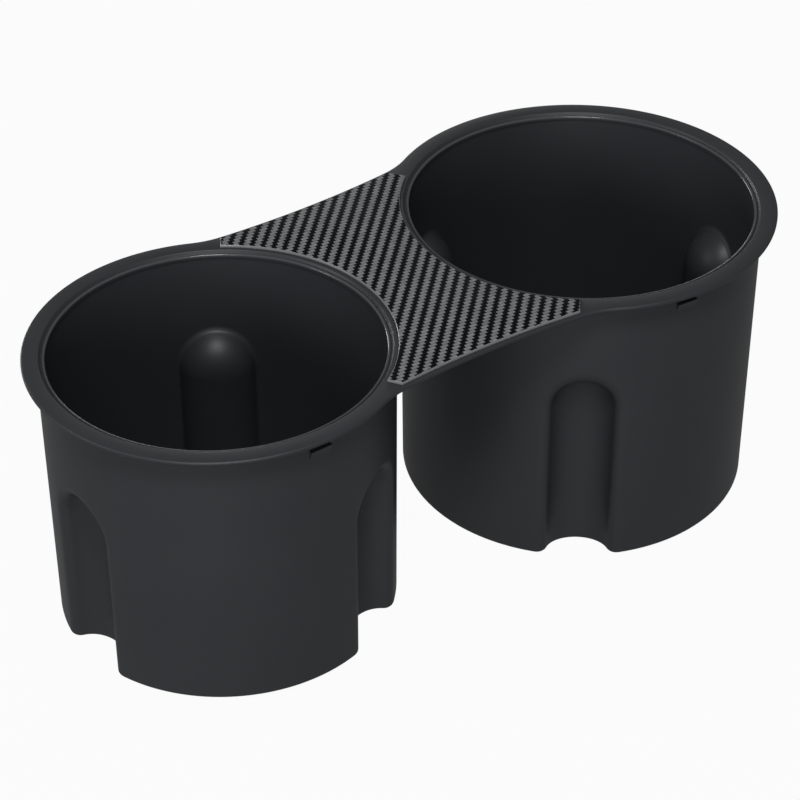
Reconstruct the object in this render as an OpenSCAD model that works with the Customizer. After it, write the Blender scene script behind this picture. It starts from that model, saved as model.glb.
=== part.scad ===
// Drop-in cup holder insert for a car's centre console.
// Two moulded cups of unlike size hang from one flange. A web joins them, and a thin
// patterned trim panel lies in a shallow seat on the web. Each cup's wall is pressed in
// along three upright channels with domed tops, which clear the ribs of the console.
// X runs from the small cup to the large one and Z up. The origin is under the middle of
// the outline, at the level of the deeper cup's base.

/* [Cups] */
// Distance between the axes of the two cups
cup_spacing = 113.4; // [112:0.1:116]
// Outer radius of the small cup's wall at the flange
small_wall_r = 43.7; // [42.5:0.1:44.5]
// Outer radius of the large cup's wall at the flange
large_wall_r = 47.5; // [46.5:0.1:48.5]
// Depth of the small cup, from the flange's top to its base
small_depth = 75.8; // [68:0.2:80]
// Depth of the large cup, from the flange's top to its base
large_depth = 82.4; // [76:0.2:90]
// Draft of the cup walls, in degrees
draft = 0.35; // [0:0.05:0.8]
// Thickness of the cup walls
wall_t = 1.8; // [1.5:0.1:2.1]
// Thickness of the cup floors
floor_t = 2; // [1.6:0.1:3]
// Radius of the rounded edge round each base
base_r = 1.5; // [0.8:0.1:2]

/* [Flange] */
// Width of the flange outside the small cup's wall
small_flange_w = 3.5; // [3.2:0.1:5]
// Width of the flange outside the large cup's wall
large_flange_w = 3.8; // [3.2:0.1:5]
// Thickness of the flange and of the web
flange_t = 1.4; // [1.4:0.1:2.2]
// Radius of the flange's upper outer edge
flange_top_r = 0.4; // [0.2:0.05:0.45]
// Radius of the flange's lower outer edge
flange_low_r = 0.8; // [0.5:0.1:0.9]
// Width of the slope from the flange's top down to the bead
mouth_slope_w = 0.7; // [0.5:0.1:1.2]
// Depth of the bead's crest below the flange's top
bead_drop = 0.5; // [0.3:0.1:0.8]
// Radius of the bead round each mouth
bead_r = 0.5; // [0.4:0.05:0.6]
// Distance that the bead stands in from the cup's inner wall
bead_overhang = 0.5; // [0.3:0.05:0.7]

/* [Web] */
// Width of the web at its neck
neck_w = 80.2; // [77:0.2:83]
// Distance of the neck from midway between the cups, towards the small one
neck_shift = 8.4; // [5:0.1:11]
// Distance from the neck over which the web's sides come out to the small flange's width
web_reach = 60.8; // [56:0.2:68]
// Radius of the blend from the web into each flange
web_blend_r = 24; // [18:1:30]

/* [Trim panel] */
// Thickness of the panel
panel_t = 1.2; // [1:0.1:1.5]
// Height that the panel stands above the flange
panel_proud = 0.6; // [0.4:0.1:0.8]
// Width of the bevel round the panel's top
panel_bevel = 0.3; // [0.1:0.05:0.5]
// Clearance round the panel in its seat
panel_gap = 0.15; // [0.05:0.05:0.3]
// Width of the flange left bare along each side of the web
panel_border = 1.1; // [0.8:0.1:2]
// Radius of the panel's edge round the small cup
panel_small_r = 44.1; // [43.8:0.1:46]
// Radius of the panel's edge round the large cup
panel_large_r = 47.6; // [47.4:0.1:50]
// Half angle that the panel covers, about the small cup's axis
panel_small_a = 56.2; // [50:0.2:60]
// Half angle that the panel covers, about the large cup's axis
panel_large_a = 50.7; // [46:0.2:54]

/* [Recess channels] */
// Depth of a channel at its middle
recess_depth = 7.8; // [6:0.1:8]
// Radius of a channel's round bottom
recess_r = 8.5; // [8:0.1:9]
// Radius of the blend from a channel into the wall
recess_blend_r = 3.6; // [3:0.1:4]
// Distance from the flange's top down to the crown of a channel
recess_drop = 22.4; // [14:0.1:30]
// Height of a channel's domed top
dome_h = 12.4; // [10:0.2:14]
// Angle of the small cup's recess behind the web
small_recess_rear = 59.2; // [52:0.2:66]
// Angle of the small cup's recess away from the web
small_recess_far = 184.5; // [170:0.5:190]
// Angle of the small cup's recess in front of the web
small_recess_front = 299; // [294:0.2:308]
// Angle of the large cup's recess behind the web
large_recess_rear = 118; // [110:0.2:128]
// Angle of the large cup's recess away from the web
large_recess_far = 353; // [348:0.5:370]
// Angle of the large cup's recess in front of the web
large_recess_front = 233.2; // [230:0.2:250]

/* [Catches] */
// Width of a catch
catch_w = 5.8; // [4:0.1:9]
// Height of a catch
catch_h = 2.6; // [2:0.1:4]
// Distance that a catch stands out from the wall
catch_out = 0.7; // [0.4:0.1:1]
// Distance from the flange's underside to the top of a catch
catch_drop = 3.2; // [2.4:0.1:5]
// Height of the slot over a catch
slot_h = 0.5; // [0.4:0.1:1]
// Depth of the slot over a catch
slot_depth = 1; // [0.5:0.1:1.2]
// Angle of the small cup's catches either side of the length
small_catch_a = 89.5; // [80:0.5:100]
// Angle of the large cup's catches either side of the length
large_catch_a = 95; // [86:0.5:104]

/* [Hidden] */

// Heights and the two axes
flange_z = max(small_depth, large_depth);
small_edge_r = small_wall_r + small_flange_w;
large_edge_r = large_wall_r + large_flange_w;
insert_l = small_edge_r + cup_spacing + large_edge_r;
small_x = small_edge_r - insert_l / 2;
large_x = insert_l / 2 - large_edge_r;
neck_x = (small_x + large_x) / 2 - neck_shift;

// How far the cups' walls reach up into the flange, and the edge round each inner base
shell_lap = 0.5;
shell_top_z = flange_z - flange_t + shell_lap;
inner_edge_r = 1;
least_edge_r = 0.1;
inner_base_r = min(inner_edge_r, recess_blend_r - wall_t - least_edge_r);

// One cup: axis, wall radius, height of its base and the angles of its channels in turn
small_cup = [small_x, small_wall_r, flange_z - small_depth,
    [small_recess_rear, small_recess_far, small_recess_front]];
large_cup = [large_x, large_wall_r, flange_z - large_depth,
    [large_recess_rear, large_recess_front, large_recess_far]];

// Cross-section of a channel: a round bottom, then a blend that runs out into the wall
bottom_steps = 5;
blend_steps = 3;
section_steps = bottom_steps + blend_steps;
arch_steps = 12;
base_steps = 3;
wall_step_a = 5;
bottom_sink = recess_depth - recess_r;
channel_half_w = sqrt((recess_r + recess_blend_r) ^ 2 - (recess_blend_r - bottom_sink) ^ 2);
blend_a = asin(channel_half_w / (recess_r + recess_blend_r));
dome_z = flange_z - recess_drop - dome_h;
dome_stretch = dome_h / channel_half_w;

// Half of the channel's section at a distance "in" below the outer skin, as points of
// [distance from the channel's middle, depth below the wall's outer skin]
function channel_section(in) = concat(
    [for (k = [0:bottom_steps]) let (a = blend_a * k / bottom_steps)
        [(recess_r + in) * sin(a), (recess_r + in) * cos(a) + bottom_sink]],
    [for (k = [1:blend_steps]) let (a = blend_a * (1 - k / blend_steps))
        [channel_half_w - (recess_blend_r - in) * sin(a), recess_blend_r - (recess_blend_r - in) * cos(a)]]
);

// A point of a cup's skin: "in" below the outer skin, at height z and at the distance u
// along the wall from the line at angle a, pressed in by the channel's depth d
function skin_point(cup, in, z, a, u, d) =
    let (r = cup[1] - in - (flange_z - z) * tan(draft), x = sqrt(r * r - u * u) - d + in)
    [cup[0] + x * cos(a) - u * sin(a), x * sin(a) + u * cos(a), z];

// Rows of [in, z] from a base up to the height where the domes start. The base's edge is
// rounded by edge_r.
function skin_rows(in, base_z, edge_r) = concat(
    [for (k = [0:base_steps]) let (a = 90 * k / base_steps)
        [in + edge_r * (1 - sin(a)), base_z + edge_r * (1 - cos(a))]],
    [[in, dome_z]]
);

// The straight part of a channel, one row of points across it at each height
function channel_legs(cup, rows, a) = [for (row = rows) let (s = channel_section(row[0])) concat(
    [for (k = [section_steps:-1:1]) skin_point(cup, row[0], row[1], a, -s[k][0], s[k][1])],
    [for (k = [0:section_steps]) skin_point(cup, row[0], row[1], a, s[k][0], s[k][1])]
)];

// The domed top of a channel: the same section turned about the dome's middle and drawn out
// in height
function channel_dome(cup, in, a) = let (s = channel_section(in))
    [for (i = [0:arch_steps]) let (t = 180 * i / arch_steps)
        [for (k = [0:section_steps])
            skin_point(cup, in, dome_z + s[k][0] * dome_stretch * sin(t), a, s[k][0] * cos(t), s[k][1])]];

// The wall between a dome's rim and the flange
function channel_crown(cup, in, a) =
    [for (over = [0, 1]) [for (i = [arch_steps:-1:0])
        let (t = 180 * i / arch_steps, u = channel_half_w * cos(t))
        skin_point(cup, in, over ? shell_top_z : dome_z + dome_h * sin(t), a, u, in)]];

// The plain wall from one channel round to the next
function plain_wall(cup, rows, a, b) =
    let (in = rows[len(rows) - 1][0], all_rows = concat(rows, [[in, shell_top_z]]))
    let (n = ceil((b - a - 2 * asin(channel_half_w / cup[1])) / wall_step_a))
    [for (row = all_rows)
        let (r = cup[1] - row[0] - (flange_z - row[1]) * tan(draft), w = asin(channel_half_w / r))
        concat(
            [skin_point(cup, row[0], row[1], a, channel_half_w, row[0])],
            [for (j = [1:n - 1]) let (at = a + w + (b - a - 2 * w) * j / n)
                skin_point(cup, row[0], row[1], at, 0, row[0])],
            [skin_point(cup, row[0], row[1], b, -channel_half_w, row[0])]
        )];

// Angle of the channel after number i, past a full turn for the last
function next_angle(angles, i) = angles[(i + 1) % 3] + (i == 2 ? 360 : 0);

// Every patch of one skin of a cup
function skin_patches(cup, rows) = let (in = rows[len(rows) - 1][0]) [
    for (i = [0:2]) each [
        channel_legs(cup, rows, cup[3][i]),
        channel_dome(cup, in, cup[3][i]),
        channel_crown(cup, in, cup[3][i]),
        plain_wall(cup, rows, cup[3][i], next_angle(cup[3], i))
    ]
];

// The closed line of points that a skin's patches have in their first or last row
function skin_loop(patches, first) = [
    for (i = [0:2]) each concat(
        first ? patches[4 * i][0] : patches[4 * i + 2][1],
        [for (j = [1:len(patches[4 * i + 3][0]) - 2])
            let (w = patches[4 * i + 3]) w[first ? 0 : len(w) - 1][j]]
    )
];

// Triangles of a grid of points, a ring between two closed lines, and a fan in a closed line
function grid_triangles(g) = [
    for (i = [0:len(g) - 2], j = [0:len(g[0]) - 2]) each [
        [g[i][j], g[i + 1][j + 1], g[i][j + 1]],
        [g[i][j], g[i + 1][j], g[i + 1][j + 1]]
    ]
];
function ring_triangles(a, b) = grid_triangles([concat(a, [a[0]]), concat(b, [b[0]])]);
function fan_triangles(p, c) = [for (i = [0:len(p) - 1]) [c, p[i], p[(i + 1) % len(p)]]];
function turned(triangles) = [for (t = triangles) [t[0], t[2], t[1]]];
function sound(triangles) = [for (t = triangles) if (t[0] != t[1] && t[1] != t[2] && t[2] != t[0]) t];

// A closed solid from triangles that meet edge to edge
module triangle_solid(triangles) {
    good = sound(triangles);
    points = [for (t = good) each t];
    polyhedron(points, [for (i = [0:len(good) - 1]) [3 * i, 3 * i + 1, 3 * i + 2]]);
}

// One cup below the flange: an outer skin, an inner skin and the rims that close them
module cup_shell(cup) {
    outer = skin_patches(cup, skin_rows(0, cup[2], base_r));
    inner = skin_patches(cup, skin_rows(wall_t, cup[2] + floor_t, inner_base_r));
    triangle_solid(concat(
        [for (g = outer) each grid_triangles(g)],
        turned([for (g = inner) each grid_triangles(g)]),
        fan_triangles(skin_loop(outer, true), [cup[0], 0, cup[2]]),
        turned(fan_triangles(skin_loop(inner, true), [cup[0], 0, cup[2] + floor_t])),
        ring_triangles(skin_loop(outer, false), skin_loop(inner, false))
    ));
}

// Outline of flange and web. A long curve along each side of the web runs through a
// smaller blend curve into the flange's circle, and all of them are tangent.
web_curve_r = web_reach ^ 2 / (2 * (small_edge_r - neck_w / 2));
curve_c = [neck_x, neck_w / 2 + web_curve_r];

// Centre of the blend between the long curve and a flange of radius r about [x, 0]
function blend_centre(x, r, side) =
    let (to_curve = curve_c - [x, 0], d = norm(to_curve), u = to_curve / d)
    let (reach = r + web_blend_r, rest = web_curve_r - web_blend_r)
    let (t = (reach ^ 2 - rest ^ 2 + d ^ 2) / (2 * d), h = sqrt(reach ^ 2 - t ^ 2))
    [x, 0] + u * t + side * [-u[1], u[0]] * h;
small_blend_c = blend_centre(small_x, small_edge_r, -1);
large_blend_c = blend_centre(large_x, large_edge_r, 1);

function direction(from, to) = atan2(to[1] - from[1], to[0] - from[0]);
small_join_a = direction([small_x, 0], small_blend_c);
large_join_a = direction([large_x, 0], large_blend_c);
small_curve_a = direction(curve_c, small_blend_c) + 360;
large_curve_a = direction(curve_c, large_blend_c) + 360;

// Steps along each curve of the outline, and up the plate's rounded edges
web_steps = 8;
flange_steps = 48;
low_steps = 4;
top_steps = 2;

function arc_points(c, r, from, to, n) =
    [for (i = [0:n]) let (a = from + (to - from) * i / n) c + r * [cos(a), sin(a)]];
function mirrored(points) = [for (i = [len(points) - 1:-1:0]) [points[i][0], -points[i][1]]];

// The web's rear side, from the large cup to the small one, moved in by d
function web_side(d) = concat(
    arc_points(large_blend_c, web_blend_r + d, large_join_a + 180, large_curve_a, web_steps),
    inner_points(arc_points(curve_c, web_curve_r + d, large_curve_a, small_curve_a, web_steps)),
    arc_points(small_blend_c, web_blend_r + d, small_curve_a, small_join_a + 180, web_steps)
);

// The whole outline moved in by d, once round
function outline(d) = concat(
    web_side(d),
    inner_points(
        arc_points([small_x, 0], small_edge_r - d, small_join_a, 360 - small_join_a, flange_steps)),
    mirrored(web_side(d)),
    inner_points(arc_points([large_x, 0], large_edge_r - d, -large_join_a, large_join_a, flange_steps))
);
function inner_points(points) = [for (i = [1:len(points) - 2]) points[i]];

// Flange and web as one plate. Its edge has both corners rounded: each row holds how far
// the outline moves in and the height below the flange's top.
module plate() {
    low = [for (k = [0:low_steps]) let (a = 90 * k / low_steps)
        [flange_low_r * (1 - sin(a)), flange_low_r * (1 - cos(a)) - flange_t]];
    top = [for (k = [0:top_steps]) let (a = 90 * k / top_steps)
        [flange_top_r * (1 - cos(a)), flange_top_r * (sin(a) - 1)]];
    rows = [for (row = concat(low, top)) at_height(outline(row[0]), flange_z + row[1])];
    stacked_solid(rows, plate_cap(len(rows[0])));
}

// Triangles across the n points of the outline, between each point and its mirror image
function plate_cap(n) = let (far = 2 * len(web_side(0)) + flange_steps - 2)
    sound([for (k = [0:n / 2 - 1])
        let (a = (k + n - flange_steps / 2) % n, b = (a + 1) % n)
        let (a_image = (far - a + n) % n, b_image = (far - b + n) % n)
        each [[a, b, b_image], [a, b_image, a_image]]]);

function at_height(points, z) = [for (p = points) [p[0], p[1], z]];

// A closed solid from like outlines stacked from the lowest to the highest. Its two ends are
// closed by the triangles of "cap", which number the points of one outline.
module stacked_solid(rows, cap) {
    n = len(rows[0]);
    last = n * (len(rows) - 1);
    polyhedron([for (row = rows) each row], concat(
        cap,
        [for (k = [0:len(rows) - 2], i = [0:n - 1]) let (j = (i + 1) % n)
            [k * n + i, (k + 1) * n + i, (k + 1) * n + j, k * n + j]],
        [for (t = turned(cap)) [t[0] + last, t[1] + last, t[2] + last]]
    ));
}

// What is cut away at a cup's mouth: a slope down from the flange's top, then the space
// over and inside the bead. The cut runs past the plate by cut_over.
slope_steps = 6;
mouth_fn = 180;
bead_fn = 48;
cut_over = 1;
module mouth(x, wall_r) {
    in_r = wall_r - wall_t - bead_overhang;
    foot_r = in_r + 2 * bead_r;
    foot_z = -bead_drop - bead_r / 2;
    low_z = -flange_t - cut_over;
    slope = [for (i = [0:slope_steps]) let (t = i / slope_steps)
        [foot_r + mouth_slope_w * t, foot_z * (1 + cos(180 * t)) / 2]];
    translate([x, 0, flange_z]) rotate_extrude($fn = mouth_fn) difference() {
        polygon(concat([[0, low_z], [in_r, low_z], [in_r, foot_z]], slope,
            [[foot_r + mouth_slope_w, cut_over], [0, cut_over]]));
        translate([in_r + bead_r, -bead_drop - bead_r]) circle(r = bead_r, $fn = bead_fn);
    }
}

// Point where the line through p along the angle a first meets the circle about c
function line_meets(p, a, c, r) =
    let (v = [cos(a), sin(a)], b = (p - c) * v, q = (p - c) * (p - c) - r * r)
    p + v * (-b - sqrt(b * b - q));

// Point where such a line meets the web's side moved in by d: on the blend, or on the long
// curve where the line meets that first
function side_meets(p, a, blend_c, curve_a, d) =
    let (on_blend = line_meets(p, a, blend_c, web_blend_r + d))
    abs(on_blend[0] - neck_x) > abs(turn_x(curve_a, d) - neck_x)
        ? on_blend : line_meets(p, a, curve_c, web_curve_r + d);

// Where the web's side, moved in by d, turns from the long curve into a blend
function turn_x(curve_a, d) = curve_c[0] + (web_curve_r + d) * cos(curve_a);

// Distance of the web's side, moved in by d, from the middle line at the length x
function side_y(x, d) =
    let (past_large = x > turn_x(large_curve_a, d), past_small = x < turn_x(small_curve_a, d))
    let (c = past_large ? large_blend_c : past_small ? small_blend_c : curve_c)
    let (r = (past_large || past_small ? web_blend_r : web_curve_r) + d)
    c[1] - sqrt(r ^ 2 - (x - c[0]) ^ 2);

function steps(from, to, n) = [for (i = [0:n]) from + (to - from) * i / n];

// Outline of the trim panel moved in by d: round the two mouths, across at the four ends
// and along the web's sides
end_steps = 5;
round_steps = 24;
least_turn = 1;
function panel_loop(d) =
    let (side_d = panel_border + d)
    let (small_r = panel_small_r + d, large_r = panel_large_r + d)
    let (small_a = panel_small_a - asin(d / small_r), large_a = panel_large_a - asin(d / large_r))
    let (small_p = [small_x, 0] + d * [sin(panel_small_a), -cos(panel_small_a)])
    let (large_p = [large_x, 0] - d * [sin(panel_large_a), cos(panel_large_a)])
    let (small_end = side_meets(small_p, panel_small_a, small_blend_c, small_curve_a, side_d)[0])
    let (large_end = side_meets(large_p, 180 - panel_large_a, large_blend_c, large_curve_a, side_d)[0])
    let (small_turn = max(turn_x(small_curve_a, side_d), small_end + least_turn))
    let (large_turn = min(turn_x(large_curve_a, side_d), large_end - least_turn))
    let (side_x = concat(
        steps(large_end, large_turn, end_steps),
        inner_points(steps(large_turn, small_turn, web_steps)),
        steps(small_turn, small_end, end_steps)
    ))
    let (rear = [for (x = side_x) [x, side_y(x, side_d)]])
    concat(
        rear,
        arc_points([small_x, 0], small_r, small_a, -small_a, round_steps),
        mirrored(rear),
        arc_points([large_x, 0], large_r, 180 + large_a, 180 - large_a, round_steps)
    );
// Triangles across the panel: from one round edge to the other, then from the corners out to
// each long side, whose middle is the one point that both corners reach
function panel_cap() =
    let (side_n = 2 * end_steps + web_steps + 1, mid = floor(side_n / 2))
    let (small_i = side_n, front_i = small_i + round_steps + 1)
    let (large_i = front_i + side_n, last = large_i + round_steps)
    concat(
        [for (j = [0:round_steps - 1]) let (a = small_i + j, b = last - j)
            each [[a, a + 1, b - 1], [a, b - 1, b]]],
        side_fans(0, side_n, mid, last, small_i),
        side_fans(front_i, side_n, mid, small_i + round_steps, large_i)
    );

// Triangles between a long side of n points that starts at number "from" and the corners
// before and after it
function side_fans(from, n, mid, before, after) = concat(
    [for (i = [0:mid - 1]) [before, from + i, from + i + 1]],
    [[before, from + mid, after]],
    [for (i = [mid:n - 2]) [after, from + i, from + i + 1]]
);

// Place of a catch under the flange, with its top at the wall's outer face
module catch_place(x, wall_r, a) {
    translate([x, 0, flange_z - flange_t - catch_drop])
        rotate([0, 0, a])
        translate([wall_r, 0, 0])
        children();
}

// Wedge-shaped catch. It is rooted in the wall, its nose is eased, and its foot runs out
// inside the wall's face.
catch_root = 1;
nose_in = 0.2;
nose_h = 0.6;
foot_in = 0.3;
module catch_wedge() {
    rotate([90, 0, 0]) linear_extrude(catch_w, center = true) polygon([
        [-catch_root, 0],
        [catch_out, 0],
        [catch_out - nose_in, -nose_h],
        [-foot_in, -catch_h],
        [-catch_root, -catch_h]
    ]);
}

// Slot over a catch, cut in from outside the wall
module catch_slot() {
    translate([-slot_depth, -catch_w / 2, 0]) cube([slot_depth + cut_over, catch_w, slot_h]);
}

// The moulding: two cups, flange, web, catches and the seat for the panel
module cup_body() {
    color("#2c2e30") {
        difference() {
            union() {
                cup_shell(small_cup);
                cup_shell(large_cup);
                plate();
            }
            mouth(small_x, small_wall_r);
            mouth(large_x, large_wall_r);
            translate([0, 0, flange_z + panel_proud - panel_t])
                linear_extrude(panel_t) polygon(panel_loop(-panel_gap));
            for (side = [-1, 1]) {
                catch_place(small_x, small_wall_r, side * small_catch_a) catch_slot();
                catch_place(large_x, large_wall_r, side * large_catch_a) catch_slot();
            }
        }
        for (side = [-1, 1]) {
            catch_place(small_x, small_wall_r, side * small_catch_a) catch_wedge();
            catch_place(large_x, large_wall_r, side * large_catch_a) catch_wedge();
        }
    }
}

// The trim panel: a thin plate with a bevel round its top
module trim_panel() {
    low_z = flange_z + panel_proud - panel_t;
    top_z = flange_z + panel_proud;
    color("#3c3e40") stacked_solid([
        at_height(panel_loop(0), low_z),
        at_height(panel_loop(0), top_z - panel_bevel),
        at_height(panel_loop(panel_bevel), top_z)
    ], panel_cap());
}

cup_body();
trim_panel();
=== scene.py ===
import math

import bmesh
import bpy
from mathutils import Matrix, Vector


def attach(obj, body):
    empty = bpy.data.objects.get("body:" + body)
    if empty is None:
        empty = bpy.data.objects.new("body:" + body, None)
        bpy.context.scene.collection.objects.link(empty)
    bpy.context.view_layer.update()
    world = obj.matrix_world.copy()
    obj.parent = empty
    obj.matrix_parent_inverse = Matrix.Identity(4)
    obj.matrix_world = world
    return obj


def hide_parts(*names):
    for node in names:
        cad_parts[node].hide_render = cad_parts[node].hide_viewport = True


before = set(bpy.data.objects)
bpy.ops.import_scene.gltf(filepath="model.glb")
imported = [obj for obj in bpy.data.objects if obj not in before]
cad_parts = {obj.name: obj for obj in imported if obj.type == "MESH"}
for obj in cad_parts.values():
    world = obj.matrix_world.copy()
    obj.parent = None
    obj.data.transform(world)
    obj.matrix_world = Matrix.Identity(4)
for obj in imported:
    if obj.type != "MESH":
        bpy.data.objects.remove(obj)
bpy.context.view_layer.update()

# The cup body is one injection moulding of charcoal black plastic with a fine matt grain. Two
# cups of unlike size hang from one flange and web, with three recess channels pressed into each
# wall. It drops into a car's console, and nothing is fixed to it but the trim panel.
MM = 0.001  # sizes are in millimetres and meshes in metres
FLANGE_Z = 82.4  # the flange's top
FLANGE_T = 1.4
DRAFT = math.radians(0.35)
WALL_T = 1.8
FLOOR_T = 2.0
BASE_R = 1.5  # rounding of a base's edge outside, and inside
INNER_BASE_R = 1.0
# Each cup's middle, outer wall under the flange, flange, height of base, and channel angles
SMALL = {"x": -58.75, "r": 43.7, "edge_r": 47.2, "base": 6.6, "angles": (59.2, 184.5, 299.0)}
LARGE = {"x": 54.65, "r": 47.5, "edge_r": 51.3, "base": 0.0, "angles": (118.0, 233.2, 353.0)}

# A channel has a round bottom, a blend into the wall on each side and a domed top. The drop is
# from the flange's top to the dome's tip.
RECESS_DEPTH = 7.8
RECESS_R = 8.5
RECESS_BLEND_R = 3.6
RECESS_DROP = 22.4
DOME_H = 12.4
BOTTOM_STEPS = 14
BLEND_STEPS = 8
bottom_sink = RECESS_DEPTH - RECESS_R
half_w = math.sqrt((RECESS_R + RECESS_BLEND_R) ** 2 - (RECESS_BLEND_R - bottom_sink) ** 2)
blend_angle = math.asin(half_w / (RECESS_R + RECESS_BLEND_R))
dome_z = FLANGE_Z - RECESS_DROP - DOME_H

# Steps of the skins' round forms. The extra row of points lies just below the catches, so
# that they don't disturb the shading of the wall under them.
BASE_STEPS = 6
DOME_STEPS = 48
WALL_STEPS = 40
CATCH_ROW_Z = 74.6


def channel_section(inset):
    """Half of a channel's section: (distance from its middle, depth below the outer skin)."""
    points = []
    for k in range(BOTTOM_STEPS + 1):
        a = blend_angle * k / BOTTOM_STEPS
        r = RECESS_R + inset
        points.append((r * math.sin(a), r * math.cos(a) + bottom_sink))
    for k in range(1, BLEND_STEPS + 1):
        a = blend_angle * (1 - k / BLEND_STEPS)
        r = RECESS_BLEND_R - inset
        points.append((half_w - r * math.sin(a), RECESS_BLEND_R - r * math.cos(a)))
    return points


def wall_radius(cup, inset, z):
    return cup["r"] - inset - (FLANGE_Z - z) * math.tan(DRAFT)


def skin_point(cup, inset, z, angle, u, depth):
    """Point of a skin at a distance u along the wall from the line at an angle."""
    r = wall_radius(cup, inset, z)
    out = math.sqrt(r * r - u * u) - depth + inset
    a = math.radians(angle)
    return (cup["x"] + out * math.cos(a) - u * math.sin(a), out * math.sin(a) + u * math.cos(a), z)


def add_grid(bm, rows, flip=False):
    """Quads over rows of points. Returns the rows of vertices."""
    verts = [[bm.verts.new(Vector(p) * MM) for p in row] for row in rows]
    for a, b in zip(verts, verts[1:]):
        for i in range(len(a) - 1):
            quad = (a[i], b[i], b[i + 1], a[i + 1])
            bm.faces.new(quad[::-1] if flip else quad)
    return verts


def skin_levels(inset, base_z, edge_r):
    """(Inset, height) up the rounded edge of a base and on to where the domes start."""
    levels = []
    for k in range(BASE_STEPS + 1):
        a = math.pi / 2 * k / BASE_STEPS
        levels.append((inset + edge_r * (1 - math.sin(a)), base_z + edge_r * (1 - math.cos(a))))
    return levels + [(inset, dome_z)]


def add_channel(bm, cup, levels, angle, flip):
    """The straight part of a channel. Returns its lowest row of points."""
    rows = []
    for inset, z in levels:
        half = channel_section(inset)
        across = [(-u, depth) for u, depth in half[:0:-1]] + half
        rows.append([skin_point(cup, inset, z, angle, u, depth) for u, depth in across])
    add_grid(bm, rows, flip)
    return rows[0]


def add_dome(bm, cup, inset, angle, top_z, flip):
    """A channel's domed top and the wall above it. Returns the wall's highest row of points."""
    turns = [math.pi * j / DOME_STEPS for j in range(DOME_STEPS + 1)]
    rows = []
    for t in turns:
        rise = DOME_H / half_w * math.sin(t)
        rows.append([skin_point(cup, inset, dome_z + u * rise, angle, u * math.cos(t), depth)
                     for u, depth in channel_section(inset)])
    add_grid(bm, rows, flip)

    rim = [(half_w * math.cos(t), dome_z + DOME_H * math.sin(t)) for t in turns[::-1]]
    above = [[skin_point(cup, inset, z, angle, u, inset) for u, z in rim]]
    for z in (CATCH_ROW_Z, top_z):
        above.append([skin_point(cup, inset, z, angle, u, inset) for u, _ in rim])
    add_grid(bm, above, flip)
    return above[-1]


def add_wall(bm, cup, levels, start, end, flip):
    """The plain wall between two channels. Returns its rows of points, the lowest first."""
    rows = []
    for inset, z in levels:
        w = math.degrees(math.asin(half_w / wall_radius(cup, inset, z)))
        span = end - start - 2 * w
        middle = [skin_point(cup, inset, z, start + w + span * j / WALL_STEPS, 0, inset)
                  for j in range(1, WALL_STEPS)]
        first = skin_point(cup, inset, z, start, half_w, inset)
        last = skin_point(cup, inset, z, end, -half_w, inset)
        rows.append([first] + middle + [last])
    add_grid(bm, rows, flip)
    return rows


def add_skin(bm, cup, inset, base_z, edge_r, top_z, flip):
    """One skin of a cup. Returns its lowest and its highest closed loop of points."""
    levels = skin_levels(inset, base_z, edge_r)
    angles = cup["angles"] + (cup["angles"][0] + 360,)
    low_loop, high_loop = [], []
    for start, end in zip(angles, angles[1:]):
        low_loop += add_channel(bm, cup, levels, start, flip)
        high_loop += add_dome(bm, cup, inset, start, top_z, flip)
        wall = add_wall(bm, cup, levels + [(inset, CATCH_ROW_Z), (inset, top_z)], start, end, flip)
        low_loop += wall[0][1:-1]
        high_loop += wall[-1][1:-1]
    return low_loop, high_loop


def add_base(bm, cup, loop, z, flip):
    """A flat disc in a closed loop, with a ring half way in so that no face is a long sliver."""
    inner = [((p[0] + cup["x"]) / 2, p[1] / 2, z) for p in loop]
    ring = add_grid(bm, [loop + loop[:1], inner + inner[:1]], flip)
    hub = bm.verts.new(Vector((cup["x"], 0, z)) * MM)
    for a, b in zip(ring[1], ring[1][1:]):
        bm.faces.new((a, hub, b)[::-1] if flip else (a, hub, b))


# Outline of flange and web: a long curve along each side of the web runs through a smaller
# blend into each cup's round flange, and all of them are tangent
NECK_W = 80.2
NECK_SHIFT = 8.4  # from half way between the cups towards the small one
WEB_REACH = 60.8  # from the neck to where the long curve is as wide as the small flange
WEB_BLEND_R = 24.0
FLANGE_STEPS = 140
WEB_CURVE_STEPS = 30
WEB_BLEND_STEPS = 20
neck_x = (SMALL["x"] + LARGE["x"]) / 2 - NECK_SHIFT
web_curve_r = WEB_REACH ** 2 / (2 * (SMALL["edge_r"] - NECK_W / 2))
curve_c = Vector((neck_x, NECK_W / 2 + web_curve_r))


def blend_centre(cup, side):
    """Centre of the blend between the long curve and a cup's flange."""
    cup_c = Vector((cup["x"], 0))
    distance = (curve_c - cup_c).length
    towards = (curve_c - cup_c) / distance
    reach = cup["edge_r"] + WEB_BLEND_R
    along = (reach ** 2 - (web_curve_r - WEB_BLEND_R) ** 2 + distance ** 2) / (2 * distance)
    off = math.sqrt(reach ** 2 - along ** 2)
    return cup_c + towards * along + side * Vector((-towards.y, towards.x)) * off


def heading(a, b):
    """Angle of the line from a to b, in degrees."""
    return math.degrees(math.atan2(b[1] - a[1], b[0] - a[0]))


small_blend_c = blend_centre(SMALL, -1)
large_blend_c = blend_centre(LARGE, 1)
small_join = heading((SMALL["x"], 0), small_blend_c)
large_join = heading((LARGE["x"], 0), large_blend_c)
small_turn = heading(curve_c, small_blend_c) + 360
large_turn = heading(curve_c, large_blend_c) + 360


def arc(c, r, start, end, n):
    """Points of an arc about c in n steps, with its angles in degrees."""
    points = []
    for i in range(n + 1):
        a = math.radians(start + (end - start) * i / n)
        points.append((c[0] + r * math.cos(a), c[1] + r * math.sin(a)))
    return points


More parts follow.
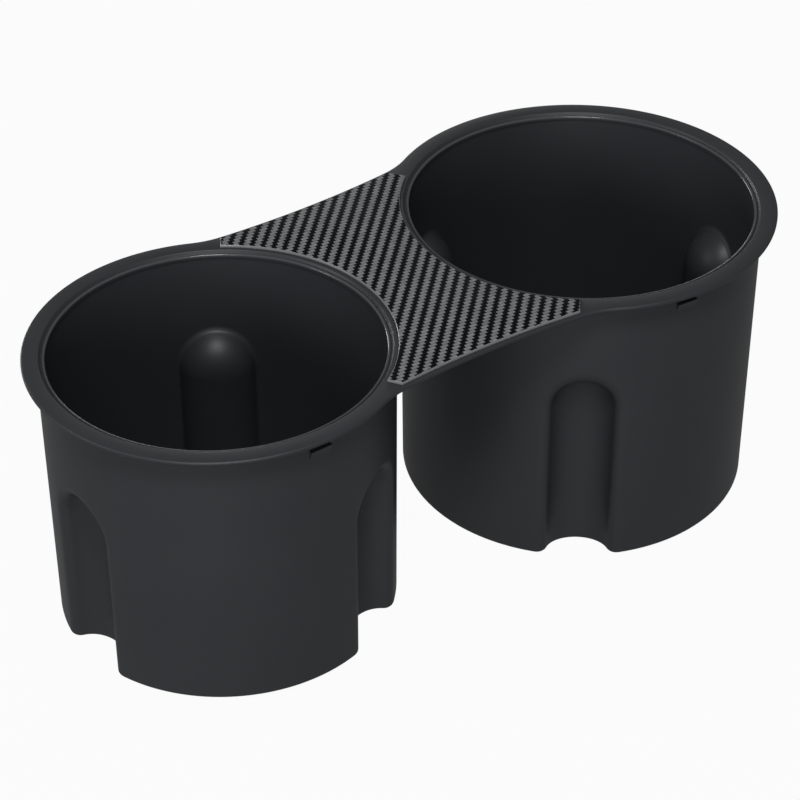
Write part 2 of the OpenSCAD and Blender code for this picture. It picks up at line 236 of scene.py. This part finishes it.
def web_side(d):
    """The web's rear side from the large cup to the small one, moved in by d."""
    blend_r = WEB_BLEND_R + d
    return (arc(large_blend_c, blend_r, large_join + 180, large_turn, WEB_BLEND_STEPS)
            + arc(curve_c, web_curve_r + d, large_turn, small_turn, WEB_CURVE_STEPS)[1:-1]
            + arc(small_blend_c, blend_r, small_turn, small_join + 180, WEB_BLEND_STEPS))


def mirrored(points):
    return [(x, -y) for x, y in points[::-1]]


def flange_arc(cup, d, start, end):
    return arc((cup["x"], 0), cup["edge_r"] - d, start, end, FLANGE_STEPS)[1:-1]


def outline(d):
    """The whole outline moved in by d, once round."""
    return (web_side(d) + flange_arc(SMALL, d, small_join, 360 - small_join)
            + mirrored(web_side(d)) + flange_arc(LARGE, d, -large_join, large_join))


def fill(bm, loops, z):
    """Flat face between an outer loop and the loops of its holes."""
    edges = []
    for loop in loops:
        verts = [bm.verts.new(Vector((p[0], p[1], z)) * MM) for p in loop]
        edges += [bm.edges.new((a, b)) for a, b in zip(verts, verts[1:] + verts[:1])]
    bmesh.ops.triangle_fill(bm, use_beauty=True, use_dissolve=False, edges=edges)


# The flange's edge, rounded above and below
EDGE_TOP_R = 0.4
EDGE_LOW_R = 0.8
EDGE_TOP_STEPS = 6
EDGE_LOW_STEPS = 9


def edge_profile():
    """Up the flange's edge: (distance in from the outline, height)."""
    points = []
    for k in range(EDGE_LOW_STEPS + 1):
        a = math.pi / 2 * k / EDGE_LOW_STEPS
        points.append((EDGE_LOW_R * (1 - math.sin(a)), EDGE_LOW_R * (1 - math.cos(a)) - FLANGE_T))
    for k in range(EDGE_TOP_STEPS + 1):
        a = math.pi / 2 * k / EDGE_TOP_STEPS
        points.append((EDGE_TOP_R * (1 - math.cos(a)), EDGE_TOP_R * (math.sin(a) - 1)))
    return points


# A mouth slopes down from the flange's top to a round bead, which stands in over the wall
SLOPE_W = 0.7
SLOPE_STEPS = 10
BEAD_R = 0.5
BEAD_DROP = 0.5
BEAD_OVERHANG = 0.5
BEAD_START = 30
BEAD_STEPS = 12


def bead_in_r(cup):
    return cup["r"] - WALL_T - BEAD_OVERHANG


def mouth_profile(cup):
    """Mouth from the flange's top down to the ledge under its bead: (radius, height)."""
    in_r = bead_in_r(cup)
    foot_r, foot_z = in_r + 2 * BEAD_R, -BEAD_DROP - BEAD_R / 2
    points = []
    for i in range(SLOPE_STEPS + 1):
        share = i / SLOPE_STEPS
        points.append((foot_r + SLOPE_W * (1 - share), foot_z * (1 - math.cos(math.pi * share)) / 2))
    for i in range(BEAD_STEPS + 1):
        a = math.radians(BEAD_START + (180 - BEAD_START) * i / BEAD_STEPS)
        points.append((in_r + BEAD_R + BEAD_R * math.cos(a), -BEAD_DROP - BEAD_R + BEAD_R * math.sin(a)))
    return points + [(in_r, -FLANGE_T)]


def add_mouth(bm, cup, below):
    """A mouth over the inner skin's highest loop. Returns its own highest loop of points."""
    around = [math.atan2(p[1], p[0] - cup["x"]) for p in below]
    rows = [[(cup["x"] + r * math.cos(a), r * math.sin(a), FLANGE_Z + z) for a in around]
            for r, z in mouth_profile(cup)] + [below]
    add_grid(bm, [row + row[:1] for row in rows])
    return rows[0]


SEAM_GAP = 2e-6  # metres, as the next one
SLIVER = 1e-7


def close_seams(bm):
    """Join the patches where they meet, and turn every face outwards."""
    bmesh.ops.remove_doubles(bm, verts=bm.verts, dist=SEAM_GAP)
    bmesh.ops.dissolve_degenerate(bm, dist=SLIVER, edges=bm.edges)
    bmesh.ops.recalc_face_normals(bm, faces=bm.faces)


def finished(name, bm):
    """An object at the origin that holds the bmesh."""
    mesh = bpy.data.meshes.new(name)
    bm.to_mesh(mesh)
    bm.free()
    obj = bpy.data.objects.new(name, mesh)
    bpy.context.scene.collection.objects.link(obj)
    return obj


def moulding():
    """Both cups, the flange and the web as one closed skin."""
    bm = bmesh.new()
    under_z = FLANGE_Z - FLANGE_T
    under_loops, mouth_loops = [], []
    for cup in (SMALL, LARGE):
        low, high = add_skin(bm, cup, 0.0, cup["base"], BASE_R, under_z, False)
        add_base(bm, cup, low, cup["base"], False)
        under_loops.append(high)
        floor_z = cup["base"] + FLOOR_T
        low, high = add_skin(bm, cup, WALL_T, floor_z, INNER_BASE_R, under_z, True)
        add_base(bm, cup, low, floor_z, True)
        mouth_loops.append(add_mouth(bm, cup, high))
    rows = [[(x, y, FLANGE_Z + z) for x, y in outline(d)] for d, z in edge_profile()]
    add_grid(bm, [row + row[:1] for row in rows])
    fill(bm, [rows[0]] + under_loops, under_z)
    fill(bm, [rows[-1]] + mouth_loops, FLANGE_Z)
    close_seams(bm)
    return finished("cup_body_moulding", bm)


body = moulding()

# The panel's outline, and its seat a gap wider. The panel's ends are lines from the cups'
# middles at these angles.
PANEL_T = 1.2
PANEL_PROUD = 0.6
PANEL_GAP = 0.15
PANEL_BORDER = 1.1
PANEL_SMALL_R = 44.1
PANEL_LARGE_R = 47.6
PANEL_SMALL_A = 56.2
PANEL_LARGE_A = 50.7
PANEL_END_STEPS = 8
PANEL_SIDE_STEPS = 40
PANEL_ARC_STEPS = 90
SEAT_CUT_H = 1.0
panel_top_z = FLANGE_Z + PANEL_PROUD
panel_low_z = panel_top_z - PANEL_T


def turn_x(turn, d):
    return curve_c.x + (web_curve_r + d) * math.cos(math.radians(turn))


def side_y(x, d):
    """Distance of the web's side, moved in by d, from the middle line."""
    if x > turn_x(large_turn, d):
        c, r = large_blend_c, WEB_BLEND_R + d
    elif x < turn_x(small_turn, d):
        c, r = small_blend_c, WEB_BLEND_R + d
    else:
        c, r = curve_c, web_curve_r + d
    return c.y - math.sqrt(r * r - (x - c.x) ** 2)


def line_meets(p, angle, c, r):
    """Point where the line through p at an angle first meets a circle."""
    v = Vector((math.cos(math.radians(angle)), math.sin(math.radians(angle))))
    to = Vector(p) - c
    b = to.dot(v)
    return Vector(p) + v * (-b - math.sqrt(b * b - to.dot(to) + r * r))


def panel_loop(d):
    """The panel's outline moved in by d, once round."""
    side_d = PANEL_BORDER + d
    blend_r = WEB_BLEND_R + side_d
    small_r, large_r = PANEL_SMALL_R + d, PANEL_LARGE_R + d
    small_a = PANEL_SMALL_A - math.degrees(math.asin(d / small_r))
    large_a = PANEL_LARGE_A - math.degrees(math.asin(d / large_r))
    sa, la = math.radians(PANEL_SMALL_A), math.radians(PANEL_LARGE_A)
    small_p = (SMALL["x"] + d * math.sin(sa), -d * math.cos(sa))
    large_p = (LARGE["x"] - d * math.sin(la), -d * math.cos(la))
    small_x = line_meets(small_p, PANEL_SMALL_A, small_blend_c, blend_r).x
    large_x = line_meets(large_p, 180 - PANEL_LARGE_A, large_blend_c, blend_r).x
    stops = (large_x, turn_x(large_turn, side_d), turn_x(small_turn, side_d), small_x)
    xs = []
    for a, b, n in zip(stops, stops[1:], (PANEL_END_STEPS, PANEL_SIDE_STEPS, PANEL_END_STEPS)):
        xs += [a + (b - a) * i / n for i in range(n)]
    rear = [(x, side_y(x, side_d)) for x in xs + [small_x]]
    return (rear + arc((SMALL["x"], 0), small_r, small_a, -small_a, PANEL_ARC_STEPS)
            + mirrored(rear)
            + arc((LARGE["x"], 0), large_r, 180 + large_a, 180 - large_a, PANEL_ARC_STEPS))


def stacked(name, levels):
    """A closed plate from the panel's outline at levels of (distance in, height)."""
    bm = bmesh.new()
    rows = [[(x, y, z) for x, y in panel_loop(d)] for d, z in levels]
    add_grid(bm, [row + row[:1] for row in rows])
    fill(bm, [rows[0]], levels[0][1])
    fill(bm, [rows[-1]], levels[-1][1])
    bmesh.ops.remove_doubles(bm, verts=bm.verts, dist=SEAM_GAP)
    bmesh.ops.recalc_face_normals(bm, faces=bm.faces)
    return finished(name, bm)


def baked(obj):
    """The object's mesh with its modifier applied. The modifier is removed."""
    bpy.context.view_layer.update()
    mesh = bpy.data.meshes.new_from_object(obj.evaluated_get(bpy.context.evaluated_depsgraph_get()))
    obj.modifiers.clear()
    return mesh


def carve(target, tool, operation):
    """Cut a tool out of the target or add it, then delete the tool."""
    mod = target.modifiers.new("carve", "BOOLEAN")
    mod.solver = "EXACT"
    mod.operation = operation
    mod.object = tool
    target.data = baked(target)
    bpy.data.objects.remove(tool)


seat_levels = [(-PANEL_GAP, panel_low_z), (-PANEL_GAP, FLANGE_Z + SEAT_CUT_H)]
carve(body, stacked("seat_tool", seat_levels), "DIFFERENCE")

# The plastic: fine moulded grain, faint flow marks in colour and gloss, and a line rubbed smooth
# along the inner side of each bead's crest, whose lighter colour is a painted highlight
GRAIN_SCALE = 2600
GRAIN_DETAIL = 2
GRAIN_STRENGTH = 0.12
GRAIN_DEPTH = 0.05
FLOW_SCALE = 45
FLOW_DETAIL = 3
FLOW_DARK = (0.0158, 0.0176, 0.0198, 1)
FLOW_LIGHT = (0.0184, 0.0204, 0.0228, 1)
FLOW_ROUGHNESS = (0.42, 0.50)
PLASTIC_IOR = 1.35
# painted highlight: the crest line's lighter colour stands in for the lamps' glint on the bead
CREST_PAINTED_HIGHLIGHT = (0.040, 0.042, 0.045, 1)
RUBBED_ROUGHNESS = 0.18
CREST_LINE_HALF_W = 0.3
CREST_IN = 0.7  # share of the bead's radius from its inner side to the line


def feed(tree, socket, value):
    """Link a socket to another node's output, or set its value."""
    if isinstance(value, bpy.types.NodeSocket):
        tree.links.new(value, socket)
    else:
        socket.default_value = value


def reckon(tree, operation, *values):
    """A Math node over numbers and sockets. Returns its output."""
    node = tree.nodes.new("ShaderNodeMath")
    node.operation = operation
    for socket, value in zip(node.inputs, values):
        feed(tree, socket, value)
    return node.outputs[0]


def mix(tree, kind, factor, first, second):
    """A Mix node of a kind, FLOAT or RGBA. Returns its output."""
    node = tree.nodes.new("ShaderNodeMix")
    node.data_type = kind
    feed(tree, node.inputs["Factor"], factor)
    feed(tree, node.inputs["A"], first)
    feed(tree, node.inputs["B"], second)
    return node.outputs["Result"]


def noise(tree, vector, scale, detail):
    node = tree.nodes.new("ShaderNodeTexNoise")
    node.inputs["Scale"].default_value = scale
    node.inputs["Detail"].default_value = detail
    tree.links.new(vector, node.inputs["Vector"])
    return node.outputs["Fac"]


def crest_mask(tree, place):
    """One on the crest lines, which are rubbed smooth and lightened as a painted highlight, zero elsewhere.
    """
    split = tree.nodes.new("ShaderNodeSeparateXYZ")
    tree.links.new(place, split.inputs["Vector"])
    x, y, z = split.outputs
    lines = []
    for cup in (SMALL, LARGE):
        dx = reckon(tree, "SUBTRACT", x, cup["x"] * MM)
        squares = reckon(tree, "ADD", reckon(tree, "MULTIPLY", dx, dx), reckon(tree, "MULTIPLY", y, y))
        crest_r = (bead_in_r(cup) + BEAD_R * CREST_IN) * MM
        off = reckon(tree, "ABSOLUTE", reckon(tree, "SUBTRACT", reckon(tree, "SQRT", squares), crest_r))
        lines.append(reckon(tree, "LESS_THAN", off, CREST_LINE_HALF_W * MM))
    at_top = reckon(tree, "GREATER_THAN", z, (FLANGE_Z - BEAD_DROP - BEAD_R) * MM)
    return reckon(tree, "MULTIPLY", reckon(tree, "MAXIMUM", *lines), at_top)


def matt_moulded_plastic():
    material = bpy.data.materials.new("matt_moulded_plastic")
    material.use_nodes = True
    tree = material.node_tree
    shader = tree.nodes["Principled BSDF"]
    place = tree.nodes.new("ShaderNodeTexCoord").outputs["Object"]
    bump = tree.nodes.new("ShaderNodeBump")
    bump.inputs["Strength"].default_value = GRAIN_STRENGTH
    bump.inputs["Distance"].default_value = GRAIN_DEPTH * MM
    tree.links.new(noise(tree, place, GRAIN_SCALE, GRAIN_DETAIL), bump.inputs["Height"])
    tree.links.new(bump.outputs["Normal"], shader.inputs["Normal"])

    flow = noise(tree, place, FLOW_SCALE, FLOW_DETAIL)
    crest = crest_mask(tree, place)
    tint = mix(tree, "RGBA", flow, FLOW_DARK, FLOW_LIGHT)
    # The crest lines get the painted highlight colour, and a lower roughness
    tree.links.new(mix(tree, "RGBA", crest, tint, CREST_PAINTED_HIGHLIGHT), shader.inputs["Base Color"])
    rough = tree.nodes.new("ShaderNodeMapRange")
    tree.links.new(flow, rough.inputs["Value"])
    rough.inputs["To Min"].default_value, rough.inputs["To Max"].default_value = FLOW_ROUGHNESS
    gloss = mix(tree, "FLOAT", crest, rough.outputs["Result"], RUBBED_ROUGHNESS)
    tree.links.new(gloss, shader.inputs["Roughness"])
    shader.inputs["IOR"].default_value = PLASTIC_IOR
    return material


plastic = matt_moulded_plastic()

# The catches: a slot pressed in under the flange and a small wedge below it, two on each cup,
# in front and behind. A profile holds (distance out from the wall, height over the slot's foot).
CATCH_W = 5.8
CATCH_OUT = 0.7
CATCH_H = 2.6
CATCH_DROP = 3.2
CATCH_TIP_H = 0.6
CATCH_TIP_IN = 0.2
CATCH_FOOT_IN = 0.3
CATCH_ROOT = 1.0
SLOT_H = 0.5
SLOT_DEPTH = 1.0
SLOT_CUT = 1.0
SMALL_CATCH_A = 89.5
LARGE_CATCH_A = 95.0
CATCHES_A_CUP = 2


def catch_places():
    """Geometry Nodes tree that sets one catch at its four places, two on each cup."""
    tree = bpy.data.node_groups.new("catch_places", "GeometryNodeTree")
    tree.interface.new_socket("Catch", in_out="INPUT", socket_type="NodeSocketGeometry")
    for name in ("Height", "Small axis", "Large axis", "Small radius", "Large radius",
                 "Small angle", "Large angle"):
        tree.interface.new_socket(name, in_out="INPUT", socket_type="NodeSocketFloat")
    tree.interface.new_socket("Catches", in_out="OUTPUT", socket_type="NodeSocketGeometry")
    nodes, links = tree.nodes, tree.links
    given = nodes.new("NodeGroupInput").outputs

    # The first catches are the small cup's, and odd numbers are behind
    number = nodes.new("GeometryNodeInputIndex").outputs[0]
    on_large = reckon(tree, "GREATER_THAN", number, CATCHES_A_CUP - 0.5)
    side = reckon(tree, "MULTIPLY_ADD", reckon(tree, "MODULO", number, 2.0), 2.0, -1.0)

    def of_cup(what):
        step = reckon(tree, "SUBTRACT", given["Large " + what], given["Small " + what])
        return reckon(tree, "MULTIPLY_ADD", step, on_large, given["Small " + what])

    angle = reckon(tree, "MULTIPLY", side, of_cup("angle"))
    radius = of_cup("radius")
    place = nodes.new("ShaderNodeCombineXYZ")
    x = reckon(tree, "MULTIPLY_ADD", radius, reckon(tree, "COSINE", angle), of_cup("axis"))
    links.new(x, place.inputs["X"])
    links.new(reckon(tree, "MULTIPLY", radius, reckon(tree, "SINE", angle)), place.inputs["Y"])
    links.new(given["Height"], place.inputs["Z"])
    turn = nodes.new("ShaderNodeCombineXYZ")
    links.new(angle, turn.inputs["Z"])

    line = nodes.new("GeometryNodeMeshLine")
    line.inputs["Count"].default_value = 2 * CATCHES_A_CUP
    points = nodes.new("GeometryNodeSetPosition")
    links.new(line.outputs["Mesh"], points.inputs["Geometry"])
    links.new(place.outputs["Vector"], points.inputs["Position"])
    copies = nodes.new("GeometryNodeInstanceOnPoints")
    links.new(points.outputs["Geometry"], copies.inputs["Points"])
    links.new(given["Catch"], copies.inputs["Instance"])
    links.new(turn.outputs["Vector"], copies.inputs["Rotation"])
    solid = nodes.new("GeometryNodeRealizeInstances")
    links.new(copies.outputs["Instances"], solid.inputs["Geometry"])
    dressed = nodes.new("GeometryNodeSetMaterial")
    dressed.inputs["Material"].default_value = plastic
    links.new(solid.outputs["Geometry"], dressed.inputs["Geometry"])
    links.new(dressed.outputs["Geometry"], nodes.new("NodeGroupOutput").inputs["Catches"])
    return tree


def catch_tool(name, profile, tree):
    """A prism across the wall with a profile, at its four places."""
    bm = bmesh.new()
    ends = []
    for side in (-1, 1):
        ends.append([bm.verts.new(Vector((x, side * CATCH_W / 2, z)) * MM) for x, z in profile])
    bm.faces.new(ends[0])
    bm.faces.new(ends[1][::-1])
    for i in range(len(profile)):
        j = (i + 1) % len(profile)
        bm.faces.new((ends[0][i], ends[1][i], ends[1][j], ends[0][j]))
    bmesh.ops.recalc_face_normals(bm, faces=bm.faces)
    tool = finished(name, bm)
    values = {
        "Height": (FLANGE_Z - FLANGE_T - CATCH_DROP) * MM,
        "Small axis": SMALL["x"] * MM,
        "Large axis": LARGE["x"] * MM,
        "Small radius": SMALL["r"] * MM,
        "Large radius": LARGE["r"] * MM,
        "Small angle": math.radians(SMALL_CATCH_A),
        "Large angle": math.radians(LARGE_CATCH_A),
    }
    mod = tool.modifiers.new("places", "NODES")
    mod.node_group = tree
    for item in tree.interface.items_tree:
        if item.name in values:
            mod[item.identifier] = values[item.name]
    tool.data = baked(tool)
    return tool


slot = [(-SLOT_DEPTH, 0), (SLOT_CUT, 0), (SLOT_CUT, SLOT_H), (-SLOT_DEPTH, SLOT_H)]
wedge = [(-CATCH_ROOT, 0), (CATCH_OUT, 0), (CATCH_OUT - CATCH_TIP_IN, -CATCH_TIP_H),
         (-CATCH_FOOT_IN, -CATCH_H), (-CATCH_ROOT, -CATCH_H)]
places = catch_places()
carve(body, catch_tool("slot_tool", slot, places), "DIFFERENCE")
carve(body, catch_tool("wedge_tool", wedge, places), "UNION")

# Edges sharper than this stay sharp, and the rest is shaded smooth
SHARP_ANGLE = math.radians(32)


def shade_smooth(obj):
    bm = bmesh.new()
    bm.from_mesh(obj.data)
    for face in bm.faces:
        face.smooth = True
    for edge in bm.edges:
        edge.smooth = not (len(edge.link_faces) == 2 and edge.calc_face_angle(0) > SHARP_ANGLE)
    bm.to_mesh(obj.data)
    bm.free()


shade_smooth(body)
body.data.materials.clear()
body.data.materials.append(plastic)
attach(body, "root")
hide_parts("cup_body")

# The trim panel is a thin moulded plate with a twill weave, printed or laid on it under clear
# resin. Its top edge is rounded and coloured light grey as a painted highlight, and it is bonded into the
# shallow seat on the web.
PANEL_BEVEL = 0.3
BEVEL_STEPS = 4
FLAT_FACE = 0.97  # a normal nearer upright than this is the panel's face, and others its edge

panel_levels = [(0.0, panel_low_z)]
for step in range(BEVEL_STEPS + 1):
    a = math.pi / 2 * step / BEVEL_STEPS
    panel_levels.append((PANEL_BEVEL * (1 - math.cos(a)), panel_top_z - PANEL_BEVEL * (1 - math.sin(a))))
panel = stacked("trim_panel_plate", panel_levels)
shade_smooth(panel)

# The twill: yarns of this width, two over and two under, a yarn further on in each row
YARN = 1.0
TWILL_REPEAT = 4.0
DARK_BELOW = 1.5  # of the repeat's cells 0 to 3, those below this are dark
LIGHT_YARN = ((0.060, 0.062, 0.066, 1), (0.150, 0.154, 0.160, 1))
DARK_YARN = ((0.0012, 0.0012, 0.0013, 1), (0.004, 0.0041, 0.0043, 1))
# share of the light yarns' tone that is painted shade across each yarn
YARN_SHADE_SHARE = 0.6
CHANCE_SHARE = 0.4
TWILL_ROUGHNESS = 0.5
TWILL_IOR = 1.1
# painted highlight: the edge's light grey colour stands in for the glint along its bevel
RESIN_EDGE_PAINTED_HIGHLIGHT = (0.11, 0.112, 0.115, 1)
RESIN_ROUGHNESS = 0.3
RESIN_IOR = 1.5


def twill_under_gloss():
    material = bpy.data.materials.new("twill_under_gloss")
    material.use_nodes = True
    tree = material.node_tree
    shader = tree.nodes["Principled BSDF"]
    split = tree.nodes.new("ShaderNodeSeparateXYZ")
    tree.links.new(tree.nodes.new("ShaderNodeTexCoord").outputs["Object"], split.inputs["Vector"])
    across = reckon(tree, "DIVIDE", split.outputs["X"], YARN * MM)
    along = reckon(tree, "DIVIDE", split.outputs["Y"], YARN * MM)
    column, row = reckon(tree, "FLOOR", across), reckon(tree, "FLOOR", along)
    cell = reckon(tree, "FLOORED_MODULO", reckon(tree, "SUBTRACT", column, row), TWILL_REPEAT)

    # Each yarn has painted shade, lighter along its middle as if its round form were lit, and the light
    # cells differ a little by chance
    def painted_yarn_shade(place):
        return reckon(tree, "SINE", reckon(tree, "MULTIPLY", reckon(tree, "FRACT", place), math.pi))

    chance = tree.nodes.new("ShaderNodeTexWhiteNoise")
    chance.noise_dimensions = "2D"
    cell_id = tree.nodes.new("ShaderNodeCombineXYZ")
    tree.links.new(column, cell_id.inputs["X"])
    tree.links.new(row, cell_id.inputs["Y"])
    tree.links.new(cell_id.outputs["Vector"], chance.inputs["Vector"])
    shade_part = reckon(tree, "MULTIPLY", painted_yarn_shade(along), YARN_SHADE_SHARE)
    chance_part = reckon(tree, "MULTIPLY", chance.outputs["Value"], CHANCE_SHARE)
    light = mix(tree, "RGBA", reckon(tree, "ADD", shade_part, chance_part), *LIGHT_YARN)
    dark = mix(tree, "RGBA", painted_yarn_shade(across), *DARK_YARN)
    is_dark = reckon(tree, "LESS_THAN", cell, DARK_BELOW)
    tree.links.new(mix(tree, "RGBA", is_dark, light, dark), shader.inputs["Base Color"])
    shader.inputs["Roughness"].default_value = TWILL_ROUGHNESS
    shader.inputs["IOR"].default_value = TWILL_IOR
    return material


def resin_edge_painted_highlight():
    material = bpy.data.materials.new("resin_edge_painted_highlight")
    material.use_nodes = True
    shader = material.node_tree.nodes["Principled BSDF"]
    shader.inputs["Base Color"].default_value = RESIN_EDGE_PAINTED_HIGHLIGHT
    shader.inputs["Roughness"].default_value = RESIN_ROUGHNESS
    shader.inputs["IOR"].default_value = RESIN_IOR
    return material


panel.data.materials.append(twill_under_gloss())
panel.data.materials.append(resin_edge_painted_highlight())
for face in panel.data.polygons:
    face.material_index = 0 if abs(face.normal.z) > FLAT_FACE else 1
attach(panel, "root")
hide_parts("trim_panel")

# The floor is plain and pale, and takes the object's shadow. The camera sees it glow almost
# white, and so do rays through glass, but mirrored rays see only a share of that.
FLOOR_HALF = 6.0  # metres
FLOOR_COLOUR = (0.12, 0.12, 0.12, 1)
FLOOR_GLOW = 0.96
FLOOR_MIRRORED = 0.2


def pale_floor():
    material = bpy.data.materials.new("pale_floor")
    material.use_nodes = True
    tree = material.node_tree
    tree.nodes.clear()
    matt = tree.nodes.new("ShaderNodeBsdfDiffuse")
    matt.inputs["Color"].default_value = FLOOR_COLOUR
    glow = tree.nodes.new("ShaderNodeEmission")
    ray = tree.nodes.new("ShaderNodeLightPath").outputs
    indirect = reckon(tree, "MULTIPLY_ADD", ray["Is Glossy Ray"], FLOOR_MIRRORED, ray["Is Transmission Ray"])
    seen = reckon(tree, "MAXIMUM", ray["Is Camera Ray"], indirect)
    both = tree.nodes.new("ShaderNodeMixShader")
    tree.links.new(reckon(tree, "MULTIPLY", seen, FLOOR_GLOW), both.inputs["Fac"])
    tree.links.new(matt.outputs["BSDF"], both.inputs[1])
    tree.links.new(glow.outputs["Emission"], both.inputs[2])
    tree.links.new(both.outputs["Shader"], tree.nodes.new("ShaderNodeOutputMaterial").inputs["Surface"])
    return material


bm = bmesh.new()
corners = [(-1, -1), (1, -1), (1, 1), (-1, 1)]
bm.faces.new([bm.verts.new((x * FLOOR_HALF, y * FLOOR_HALF, 0)) for x, y in corners])
floor = finished("studio_floor", bm)
floor.data.materials.append(pale_floor())

# The light is a plain soft studio: a white surround, dimmed for the light that it gives, and
# five round soft lamps.
SURROUND_MIRRORED = 0.19
SURROUND_LIGHT = 0.32
LAMP_AIM = Vector((0.0, 0.0, 0.05))
LAMPS = [  # name, place and diameter in metres, watts
    ("key", (-0.72, -0.95, 0.20), 0.6, 10),
    ("top", (-0.28, -0.41, 1.0), 0.3, 8.5),
    ("left", (-1.05, 0.35, 0.45), 0.4, 4),
    ("rim", (-0.10, 1.15, 0.17), 0.26, 3.6),
    ("back", (0.62, 0.92, 0.22), 0.3, 0.8),
]

scene = bpy.context.scene
world = bpy.data.worlds.new("studio")
scene.world = world
world.use_nodes = True
tree = world.node_tree
tree.nodes.clear()
ray = tree.nodes.new("ShaderNodeLightPath").outputs
white = reckon(tree, "MAXIMUM", ray["Is Camera Ray"], ray["Is Transmission Ray"])
with_mirrored = reckon(tree, "MULTIPLY_ADD", ray["Is Glossy Ray"], SURROUND_MIRRORED, white)
strength = reckon(tree, "MULTIPLY_ADD", ray["Is Diffuse Ray"], SURROUND_LIGHT, with_mirrored)
surround = tree.nodes.new("ShaderNodeBackground")
surround.inputs["Color"].default_value = (1, 1, 1, 1)
tree.links.new(strength, surround.inputs["Strength"])
tree.links.new(surround.outputs["Background"], tree.nodes.new("ShaderNodeOutputWorld").inputs["Surface"])

for name, place, diameter, watts in LAMPS:
    data = bpy.data.lights.new(name, "AREA")
    data.shape = "DISK"
    data.size = diameter
    data.energy = watts
    lamp = bpy.data.objects.new(name, data)
    lamp.location = place
    lamp.rotation_euler = (LAMP_AIM - Vector(place)).to_track_quat("-Z", "Y").to_euler()
    scene.collection.objects.link(lamp)

# The camera stands where the photograph was taken from, about 0.7 m off and looking down by 36
# degrees: its place in millimetres, its own axes, and its lens and sensor
CAMERA_PLACE = Vector((-324.71, -445.67, 439.02))
CAMERA_RIGHT = Vector((0.8104655, -0.5857775, -0.0032148))
CAMERA_DOWN = Vector((-0.3449112, -0.4727595, -0.8108852))
CAMERA_AHEAD = Vector((0.4734785, 0.6583033, -0.5851965))
CAMERA_LENS = 116.884
CAMERA_SENSOR = 36
CAMERA_REACH = 30  # metres

camera_data = bpy.data.cameras.new("photo_view")
camera_data.sensor_width = CAMERA_SENSOR
camera_data.lens = CAMERA_LENS
camera_data.clip_end = CAMERA_REACH
camera = bpy.data.objects.new("photo_view", camera_data)
scene.collection.objects.link(camera)
turn = Matrix((CAMERA_RIGHT, -CAMERA_DOWN, -CAMERA_AHEAD)).transposed().to_4x4()
camera.matrix_world = Matrix.Translation(CAMERA_PLACE * MM) @ turn
scene.camera = camera

scene.view_settings.view_transform = "Standard"
